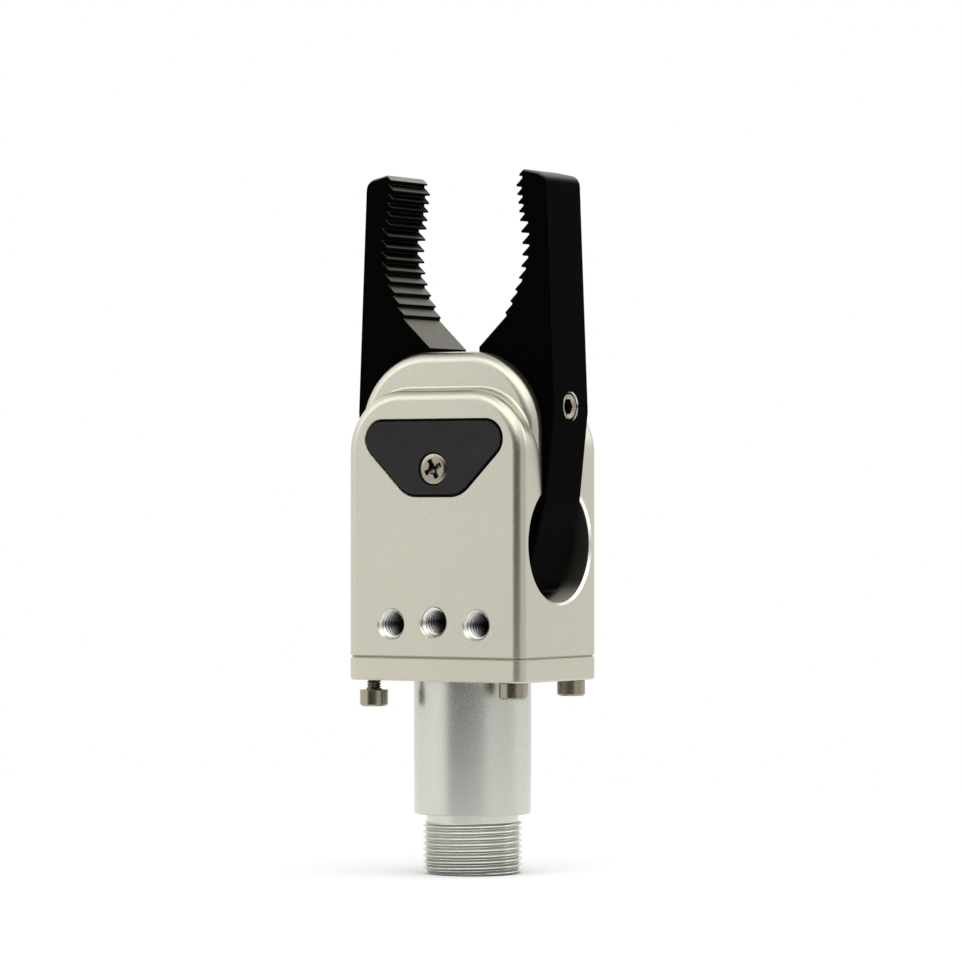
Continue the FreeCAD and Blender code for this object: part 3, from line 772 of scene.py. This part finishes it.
for hole in ("left_front_hole", "vent_hole", "right_front_hole", "air_port"):
    mount = mounts[hole]
    slot = "shank_aluminium" if hole == "air_port" else "anodised_aluminium"
    wall_length = mount["dims"]["length_mm"]
    wall_radius = mount["dims"]["r_mm"]
    way_out = Vector(mount["axis"])
    wall_end = Vector(mount["pos_m"]) / MM - way_out * (wall_length / 2)
    sleeve = thread_sleeve(
        hole + "_thread", wall_radius, wall_end, way_out, wall_length, "gripper_body", slot)
    sleeve.data.materials[0] = tapped_finish

# %% [markdown]
# ## Cap screws under the plate
# Four small socket head screws hold the plate, and one of them is partly undone, so its thread shows.
# Head, socket and thread are rows of one turned surface. In the socket the radius changes with the angle:
# it is half the width across flats, divided by the cosine of the angle from the nearest flat.

# %% Helpers for hex sockets
half_flat_angle = math.radians(30)


def hexagon(flats, columns):
    """Radius of a hexagon on each column: half its width across flats / cos(angle from a flat)."""
    from_flat = (round_angles(columns) + half_flat_angle) % (2 * half_flat_angle) - half_flat_angle
    return flats / 2 / np.cos(from_flat)


def socket_profile(flats, depth, lead_in, columns):
    """Radii and heights of a hex socket from its pole to its mouth, which opens down at height 0."""
    hexagonal = hexagon(flats, columns)
    round_mouth = flats / 2 / math.cos(half_flat_angle) + lead_in
    return [(0.0, depth), (hexagonal, depth), (hexagonal, lead_in), (round_mouth, 0.0)]


print("a socket has", len(socket_profile(1.0, 1.0, 0.0, 6)), "rows")

# %% [markdown]
# The heads are a little larger than the CAD ones, as the photograph shows them.
# The CAD sizes are still needed, to find where each screw stands.

# %% Make the cap screws
screw_columns = 48
cad_head_radius = 2.25
cad_head_height = 2.5
cap_head_radius = 2.4
cap_head_height = 2.8
cap_head_break = 0.3
cap_under_break = 0.1
cap_socket_flats = 2.0
cap_socket_depth = 1.3
cap_lead_in = 0.1
cap_thread_radius = 1.25
cap_pitch = 0.45
cap_length = 10.0
cap_neck = 0.25


def cap_screw(under_head):
    """Grids of one cap screw that points up, with the underside of its head at a place."""
    low = cap_head_height + cap_neck
    high = cap_head_height + cap_length
    profile = socket_profile(cap_socket_flats, cap_socket_depth, cap_lead_in, screw_columns) + [
        (cap_head_radius - cap_head_break, 0.0),
        (cap_head_radius, cap_head_break),
        (cap_head_radius, cap_head_height - cap_under_break),
        (cap_head_radius - cap_under_break, cap_head_height),
        (cap_thread_radius + cap_neck, cap_head_height),
        (cap_thread_radius, low),
    ]

    def point_cone(outside, level):
        """Radius of at most the point's radius + the way below the point."""
        return np.minimum(outside, cap_thread_radius - cap_neck + (high - level))

    grids = screw_grids(profile, cap_thread_radius, cap_pitch, low, high, screw_columns, point_cone)
    return point_along(grids, (0, 0, 1), under_head - Vector((0, 0, cap_head_height)))


screws_low, screws_high = in_mm(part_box("base_screws"))
corner_x = screws_high.x - cad_head_radius
corner_y = screws_high.y - cad_head_radius
loose_gap = -screws_low.z - cad_head_height
loose_corner = (-1, -1)
cap_grids = []
for side_x, side_y in ((-1, -1), (1, -1), (1, 1), (-1, 1)):
    drop = loose_gap if (side_x, side_y) == loose_corner else 0.0
    cap_grids += cap_screw(Vector((side_x * corner_x, side_y * corner_y, plate_low.z - drop)))
cap_screws = make_piece("plate_cap_screws", cap_grids, "gripper_body", "nickel_screw")
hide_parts("base_screws")

# %% [markdown]
# ## Cover plate
# A dark plate lies in a recess of the front face and keeps the pivot pins in. Its outline is what a
# rubber band makes round four discs: two over the pins and two at the foot. A point of such an outline
# is easy to find: in each direction the band touches the disc that reaches furthest.

# %% Outline of the cover plate
cover_low, cover_high = in_mm(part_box("pin_cover"))
cover_screw_low, cover_screw_high = in_mm(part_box("cover_screw"))
pin_low, pin_high = in_mm(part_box("right_pivot_pin"))
cover_columns = 240
lobe_height = (pin_low.z + pin_high.z) / 2
lobe_radius = cover_high.z - lobe_height
lobe_offset = cover_high.x - lobe_radius
foot_radius = 5.0
foot_height = cover_low.z + foot_radius
foot_reach = (lobe_radius - foot_radius) * math.sqrt(2) + foot_height - lobe_height
foot_offset = lobe_offset + foot_reach
cover_discs = np.array([
    (-lobe_offset, lobe_height), (lobe_offset, lobe_height),
    (-foot_offset, foot_height), (foot_offset, foot_height),
])
disc_radii = np.array([lobe_radius, lobe_radius, foot_radius, foot_radius])
cover_screw_height = (cover_screw_low.z + cover_screw_high.z) / 2
cover_angle = round_angles(cover_columns)
cover_direction = np.stack([np.cos(cover_angle), np.sin(cover_angle)], axis=-1)


def cover_row(inset, depth):
    """Outline at a depth along Y: centre + (radius - inset) * direction, of the furthest disc."""
    furthest = np.argmax(cover_direction @ cover_discs.T + disc_radii, axis=1)
    outline = cover_discs[furthest] + (disc_radii[furthest] - inset)[:, None] * cover_direction
    return np.insert(outline, 1, depth, axis=1)


def hole_row(radius, depth):
    """Circle round the screw, at a depth along Y: centre + radius * direction."""
    return np.insert((0.0, cover_screw_height) + radius * cover_direction, 1, depth, axis=1)


print("cover lobes of", round(lobe_radius, 2), "mm,", round(2 * lobe_offset, 2), "mm apart")

# %% [markdown]
# The plate stands a little proud of the face, with a broken edge and a step below it, so that a dark gap
# shows all round. The step reaches into the gap in the dark coat: partly the plate's own dark edge, partly
# a dark fill standing for the shade in the gap. The CAD plate is flush and plain. The rows run from the
# screw's hole over the face and round the edge to the back.

# %% Make the cover plate
cover_proud = 0.25
cover_inset = 0.10
cover_edge_break = 0.12
cover_step_depth = 0.7
# The step fills the gap with dark coat, partly standing for the shade in it
cover_step_out = 0.17
cover_hole_gap = 0.16
cover_hole_radius = cover_screw_high.x + cover_hole_gap
cover_hole_land = 0.4
cover_hole_bore = 1.55
cover_face = cover_low.y - cover_proud
cover_cone_end = cover_face + cover_hole_land + cover_hole_radius - cover_hole_bore
cover_rows = np.stack([
    hole_row(cover_hole_bore, cover_high.y),
    hole_row(cover_hole_bore, cover_cone_end),
    hole_row(cover_hole_radius, cover_face + cover_hole_land),
    hole_row(cover_hole_radius, cover_face),
    cover_row(cover_inset + cover_edge_break, cover_face),
    cover_row(cover_inset, cover_face + cover_edge_break),
    cover_row(cover_inset, cover_low.y + cover_step_depth),
    cover_row(-cover_step_out, cover_low.y + cover_step_depth),
    cover_row(-cover_step_out, cover_high.y),
    hole_row(cover_hole_bore, cover_high.y),
])
cover_grid = (cover_rows, grid_faces(len(cover_rows), cover_columns))
cover_plate = make_piece("pivot_cover_plate", [cover_grid], "gripper_body", "dark_cover")
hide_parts("pin_cover")

# %% [markdown]
# ## Coves on the ledges
# Where the thin crown rises from the shoulder, the cutter has left a small hollow round in the corner.
# CAD has a sharp corner there. The cove is a quarter circle carried along the shoulder's outline. Down the
# sides it leans back with the crown's own rounded edge, and runs out to nothing.

# %% Make the coves
housing_high = in_mm(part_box("housing"))[1]
shoulder_rise = 8.4
shoulder_top = lobe_height + shoulder_rise
shoulder_radius = 10.6
shoulder_flat = housing_high.x - shoulder_radius
crown_face = 8.7
crown_radius = 13.3
crown_edge_round = 1.8
cove_radius = 0.6
cove_end = math.radians(66)
cove_run_out = math.radians(26)
cove_steps = 33
cove_sides = 9
cove_bite = 0.05


def ledge_cove(side):
    """Cove on the front ledge, with side -1, or on the back one, with side 1.

    Along the path, a point is the shoulder's outline + outwards * (r - r * sin), at the depth
    crown + r - r * cos, while the angle goes from 0 on the crown to 90 degrees on the shoulder.
    The crown's depth is that of its face, less the drop of its rounded edge, which is
    e - square root of (e * e - b * b), where b is the way past the edge's start.
    """
    half_path = np.linspace(0, cove_end, cove_steps)
    lean = np.concatenate([half_path - cove_end, half_path])
    flat_end = np.repeat([-shoulder_flat, shoulder_flat], cove_steps)
    size = cove_radius * np.sqrt(np.clip((cove_end - np.abs(lean)) / cove_run_out, 0, 1))[:, None]
    turn = np.linspace(0, math.pi / 2, cove_sides)
    bite = np.sign(size) * -cove_bite
    out = np.concatenate([size * (1 - np.sin(turn)), bite], axis=1)
    hollow = np.concatenate([size * (1 - np.cos(turn)), bite], axis=1)
    x = flat_end[:, None] + (shoulder_radius + out) * np.sin(lean)[:, None]
    z = shoulder_top - shoulder_radius + (shoulder_radius + out) * np.cos(lean)[:, None]
    crown_x = np.maximum(np.abs(x) - (housing_high.x - crown_radius), 0)
    crown_z = np.maximum(z - (housing_high.z - crown_radius), 0)
    past_start = np.hypot(crown_x, crown_z) - crown_radius + crown_edge_round
    beyond = np.clip(past_start, 0, crown_edge_round)
    drop = crown_edge_round - np.sqrt(crown_edge_round ** 2 - beyond ** 2)
    points = np.stack([x, side * (crown_face - drop + hollow), z], axis=-1)
    name = "front_ledge_cove" if side < 0 else "back_ledge_cove"
    grid = (points, grid_faces(len(points), points.shape[1]))
    make_piece(name, [grid], "gripper_body", "anodised_aluminium")


for side in (-1, 1):
    ledge_cove(side)

# %% [markdown]
# ## Cross recess screw in the cover
# The cover is held by one countersunk screw with a cross recess. The recess is a depth below the head's
# face, worked out on a fine polar grid: two crossed grooves with steep walls, each shallower towards its
# ends, and a round core in the middle.

# %% Depth of the cross recess
cross_turn = math.radians(-26)
cross_reach = 1.72
cross_width = 0.84
cross_depth = 1.6
cross_end_rise = 0.5
cross_wall = 0.10
cross_core_radius = 0.95
cross_core_wall = 0.35
cross_columns = 144
cross_rows = 56


def groove_depth(along, across):
    """Depth of one groove: full in the middle, half at its ends, with steep walls and ends."""
    floor = cross_depth * (1 - cross_end_rise * np.abs(along) / cross_reach)
    wall = np.clip((cross_width / 2 - np.abs(across)) / cross_wall, 0, 1)
    end = np.clip((cross_reach - np.abs(along)) / cross_wall, 0, 1)
    return floor * wall * end


recess_radius = np.linspace(0, cross_reach + cross_wall, cross_rows)[:, None]
recess_angle = round_angles(cross_columns) - cross_turn
recess_x = recess_radius * np.cos(recess_angle)
recess_y = recess_radius * np.sin(recess_angle)
grooves = np.maximum(groove_depth(recess_x, recess_y), groove_depth(recess_y, recess_x))
core = cross_depth * np.clip((cross_core_radius - recess_radius) / cross_core_wall, 0, 1)
recess = np.maximum(grooves, core)
print("cross recess", round(recess.max(), 2), "mm deep")

# %% [markdown]
# The recess is the first part of a turned surface, in which every row may have its own height on each
# column. The head's rim, its cone and the thread follow.

# %% Make the cross recess screw
cover_head_gap = 0.10
cover_head_radius = cover_screw_high.x - cover_head_gap
cover_head_land = 0.2
cover_head_break = 0.12
cover_head_break_depth = 0.08
cover_thread_radius = 1.5
cover_pitch = 0.5
cover_screw_length = cover_screw_high.y - cover_screw_low.y
cone_end = cover_head_land + cover_head_radius - cover_thread_radius
head_profile = list(zip(recess_radius, recess)) + [
    (cover_head_radius - cover_head_break, 0.0),
    (cover_head_radius, cover_head_break_depth),
    (cover_head_radius, cover_head_land),
    (cover_thread_radius, cone_end),
]
cover_screw_grids = screw_grids(
    head_profile, cover_thread_radius, cover_pitch, cone_end, cover_screw_length, cross_columns)
cover_screw_grids = point_along(
    cover_screw_grids, (0, 1, 0), Vector((0, cover_screw_low.y, cover_screw_height)))
cross_screw = make_piece("cover_cross_screw", cover_screw_grids, "gripper_body", "nickel_screw")
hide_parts("cover_screw")

# %% [markdown]
# ## Grub screws in the jaws
# A grub screw in each jaw's outer face holds one end of the jaw spring. It is a threaded rod with a hex
# socket, set a little below the face, so a turn of the jaw's own bright thread shows in front of it.

# %% Make the grub screws and the threads in front of them
grub_flats = 2.5
grub_socket_depth = 2.0
grub_lead_in = 0.3
grub_break = 0.45
grub_out = 0.60
grub_mouth = 0.20


def grub_screw(side):
    """A jaw's grub screw and the thread in front of it. Side is 1 on the right and -1 on the left."""
    name = "right" if side > 0 else "left"
    node = name + "_spring_screw"
    body = name + "_jaw_unit"
    low, high = in_mm(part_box(node))
    radius = (high.z - low.z) / 2
    length = high.x - low.x + grub_out
    profile = socket_profile(grub_flats, grub_socket_depth, grub_lead_in, screw_columns)
    profile += [(radius - grub_break, 0.0), (radius, grub_break)]
    grids = screw_grids(profile, radius, hole_pitch, grub_break, length, screw_columns)
    outer_end = Vector((side * (max(high.x, -low.x) + grub_out), 0, (low.z + high.z) / 2))
    grids = point_along(grids, (-side, 0, 0), outer_end)
    screw = make_piece(name + "_grub_screw", grids, body, "nickel_screw")
    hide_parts(node)
    hole = name + "_grub_hole_thread"
    thread_sleeve(hole, radius, outer_end, (side, 0, 0), grub_mouth, body, "ground_steel")


for side in (1, -1):
    grub_screw(side)

# %% [markdown]
# ## Springs
# Both springs are wound from round wire, with a closed turn at each seat. CAD winds them evenly, from
# an eight sided wire in short steps. Here the wire is a circle carried along a smooth helix, whose climb
# is slow in a closed turn.
# The return spring shortens when the piston rises; the share of its length that is left then is worked out.

# %% Make the return spring
wire_sides = 12


def wound_spring(coil_radius, wire, turns, length, steps_per_turn, closed_start=True):
    """Grid of a spring from height 0 to its length: the wire's centre runs on a helix about Z.

    Height along the helix climbs by one wire in a closed turn and evenly elsewhere.
    Round the wire, a point lies at centre + wire radius * (outwards * cos + upwards * sin).
    """
    turn = np.linspace(0, turns, int(turns * steps_per_turn) + 1)
    ends = wire * np.array([0.5, 1.5])
    start = [(0, ends[0]), (1, ends[1])] if closed_start else [(0, 0)]
    knots = np.array(start + [(turns - 1, length - ends[1]), (turns, length - ends[0])])
    level = np.interp(turn, knots[:, 0], knots[:, 1])
    angle = 2 * math.pi * turn
    outwards = polar_points(1.0, angle, np.zeros_like(angle))
    centre = polar_points(coil_radius, angle, level)
    forwards = np.gradient(centre, axis=0)
    forwards /= np.linalg.norm(forwards, axis=1, keepdims=True)
    upwards = np.cross(outwards, forwards)
    around = round_angles(wire_sides)[None, :, None]
    section = wire / 2 * (outwards[:, None] * np.cos(around) + upwards[:, None] * np.sin(around))
    wall = centre[:, None] + section
    first = np.broadcast_to(centre[0], (1, wire_sides, 3))
    last = np.broadcast_to(centre[-1], (1, wire_sides, 3))
    points = np.concatenate([first, wall, last])
    return points, grid_faces(len(points), wire_sides)


piston_travel = joints["piston_slide"]["range_m"][1] / MM
return_low, return_high = in_mm(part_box("return_spring"))
return_wire = 0.8
return_turns = 7
return_steps = 40
return_length = return_high.z - return_low.z
return_kept = 1 - piston_travel / return_length
return_grid = wound_spring(
    return_high.x - return_wire / 2, return_wire, return_turns, return_length, return_steps)
return_grids = point_along([return_grid], (0, 0, 1), (0, 0, return_low.z))
return_spring = make_piece("piston_return_spring", return_grids, "gripper_body", "spring_wire")
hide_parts("return_spring")
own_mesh(return_spring)
print("the return spring keeps", round(return_kept, 3), "of its length")

# %% [markdown]
# The jaw spring lies in holes through both jaws, and bends when they close. It is made in two halves that
# meet in the middle, each with no body. The second half is the first one turned by half a turn, which
# keeps the winding's direction.

# %% Make the two halves of the jaw spring
jaw_spring_low, jaw_spring_high = in_mm(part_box("jaw_spring"))
jaw_spring_wire = 0.6
jaw_spring_half_turns = 5.5
jaw_spring_steps = 28
jaw_spring_height = (jaw_spring_low.z + jaw_spring_high.z) / 2
jaw_spring_radius = jaw_spring_high.z - jaw_spring_height - jaw_spring_wire / 2
half_grid = wound_spring(
    jaw_spring_radius, jaw_spring_wire, jaw_spring_half_turns, jaw_spring_high.x, jaw_spring_steps,
    closed_start=False)
half_points, half_faces = point_along([half_grid], (1, 0, 0), (0, 0, jaw_spring_height))[0]
for side, name in ((1, "right"), (-1, "left")):
    turned_half = (half_points * (side, side, 1), half_faces)
    half = make_piece(f"{name}_jaw_spring_half", [turned_half], None, "spring_wire")
    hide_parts("jaw_spring")
    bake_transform(half)

# %% [markdown]
# ## Stage: world, floor and lamps
# A product like this is photographed in a white tent: bright walls all round, a dimmer roof with a light
# panel in it, a long lamp over the camera, and a dark opening below it where the camera looks in. The
# opening gives the shank and the housing's corner their grey bands. The lamp and the panel light the
# rounded edges on top. All of it is the world's own light, as a function of direction.
# Each part of the tent fades in from the first to the second number of its pair. Angles are in degrees,
# and the other pairs are lengths of the direction's parts, of which the whole is 1.

# %% Parts of the tent
wall_level = 0.94
bright_way = Vector((-0.86, -0.50, 0.0))
bright_gain = 0.05
upper_wall_start = (0.10, 0.36)
upper_wall_end = (0.80, 0.60)
upper_wall_gain = 0.22
dim_azimuth = 85.0
dim_angles = (48.0, 25.0)
dim_depth = 0.25
roof_way = Vector((0.0, 0.0, 1.0))
roof_angles = (56.0, 40.0)
roof_depth = 0.30
panel_way = Vector((0.45, 0.05, 0.89)).normalized()
panel_angles = (34.0, 20.0)
panel_gain = 1.0
lamp_azimuth = 15.0
lamp_climb = math.radians(47.0)
lamp_half_length = (0.80, 0.30)
lamp_half_width = (0.38, 0.24)
lamp_heights = (0.15, 0.45)
lamp_gain = 1.1
opening_azimuth = 18.0
opening_half_width = (0.76, 0.45)
opening_ahead = (0.0, 0.25)
opening_heights = (0.47, 0.18)
opening_depth = 0.98


def level_way(azimuth):
    """Level direction at an azimuth in degrees: 0 looks to the front, and 90 to the right."""
    turn = math.radians(azimuth)
    return Vector((math.sin(turn), -math.cos(turn), 0.0))


def round_patch(direction, way, angles):
    """Round patch of the tent about a way: 0 past the first angle and 1 within the second."""
    return direction.along(way).stepped(*(math.cos(math.radians(angle)) for angle in angles))


print("the tent opens at", opening_azimuth, "degrees")

# %% [markdown]
# The walls, the roof and the lamps are added up, and the opening is taken out of the sum.
# The camera itself sees plain white.

# %% Make the world
world = bpy.data.worlds.new("white tent")
world.use_nodes = True
bpy.context.scene.world = world
tent = Signal(world.node_tree)
direction = tent.node("ShaderNodeTexCoord", {}, {}, "Generated")
climb = direction.part(2)

upper_wall = climb.stepped(*upper_wall_start) * climb.stepped(*upper_wall_end)
dim = round_patch(direction, level_way(dim_azimuth), dim_angles)
roof = round_patch(direction, roof_way, roof_angles)
panel = round_patch(direction, panel_way, panel_angles)
lamp_side = level_way(lamp_azimuth + 90)
lamp_up = -level_way(lamp_azimuth) * math.sin(lamp_climb)
lamp_up.z = math.cos(lamp_climb)
along_lamp = tent.maths("ABSOLUTE", direction.along(lamp_side)).stepped(*lamp_half_length)
across_lamp = tent.maths("ABSOLUTE", direction.along(lamp_up)).stepped(*lamp_half_width)
lamp = along_lamp * across_lamp * climb.stepped(*lamp_heights)
ahead = direction.along(level_way(opening_azimuth)).stepped(*opening_ahead)
aside = tent.maths("ABSOLUTE", direction.along(level_way(opening_azimuth + 90)))
opening = aside.stepped(*opening_half_width) * ahead * climb.stepped(*opening_heights)

walls = wall_level + direction.along(bright_way) * bright_gain - dim * dim_depth
tent_cloth = walls + upper_wall * upper_wall_gain - roof * roof_depth
tent_lamps = lamp * lamp_gain + panel * panel_gain
lit = (tent_cloth + tent_lamps) * (1.0 - opening * opening_depth)
seen = tent.node("ShaderNodeLightPath", {}, {}, "Is Camera Ray")
background = world.node_tree.nodes["Background"]
background.inputs["Color"].default_value = grey(1.0)
world.node_tree.links.new((lit + (1.0 - lit) * seen).socket, background.inputs["Strength"])
print("the world has", len(world.node_tree.nodes), "nodes")

# %% [markdown]
# Two soft lamps stand left and behind right. They make the bright lines along the rounded edges.

# %% Make the lamps
softbox_width = 0.45
softbox_height = 0.35
left_light_place = (-0.62, -0.58, 0.30)
left_light_watts = 0.35
back_light_place = (0.55, 0.60, 0.40)
back_light_watts = 0.45


def softbox(name, place, target, watts):
    """Rectangular soft lamp at a place in metres, turned towards a target."""
    data = bpy.data.lights.new(name, "AREA")
    data.shape = "RECTANGLE"
    data.size = softbox_width
    data.size_y = softbox_height
    data.energy = watts
    lamp = bpy.data.objects.new(name, data)
    lamp.location = place
    lamp.rotation_euler = (Vector(target) - Vector(place)).to_track_quat("-Z", "Y").to_euler()
    lamp.visible_camera = False
    bpy.context.scene.collection.objects.link(lamp)
    print(name, watts, "watts")


middle = (cad_box[0] + cad_box[1]) / 2
softbox("left_light", left_light_place, middle, left_light_watts)
softbox("back_right_light", back_light_place, middle, back_light_watts)

# %% [markdown]
# The floor is a large pale sheet. It adds a little white of its own where the camera, metal or glass
# sees it, so that it ends in the white background, and it keeps the gripper's shadow.

# %% Make the floor
floor_half = 0.24
floor_cloud_scale = 3.0
floor_tones = (grey(0.85), grey(0.87))
floor_glow = grey(0.06)
floor_roughness = 0.9

floor_corners = np.array([(-1, -1), (1, -1), (1, 1), (-1, 1)]) * floor_half
floor_mesh = bpy.data.meshes.new("floor")
floor_mesh.from_pydata(np.column_stack([floor_corners, np.full(4, cad_box[0].z)]), [], [(0, 1, 2, 3)])
floor = bpy.data.objects.new("floor", floor_mesh)
bpy.context.scene.collection.objects.link(floor)

floor_finish, floor_start, floor_surface = new_finish("pale floor")
floor_rays = [floor_start.node("ShaderNodeLightPath", {}, {}, f"Is {kind} Ray")
              for kind in ("Camera", "Glossy", "Transmission")]
floor_seen = sum(floor_rays).stepped(0.0, 1.0)
floor_surface(
    Base_Color=noise(floor_start, floor_cloud_scale, fine_detail).between(*floor_tones),
    Roughness=floor_roughness,
    Specular_IOR_Level=0.0,
    Emission_Color=floor_seen.between(grey(0.0), floor_glow),
    Emission_Strength=1.0,
)
floor.data.materials.append(floor_finish)
print("floor at", round(cad_box[0].z / MM, 2), "mm")

# %% [markdown]
# ## Last steps
# The picture is shown as it is, without a film look.

bpy.context.scene.view_settings.view_transform = "Standard"
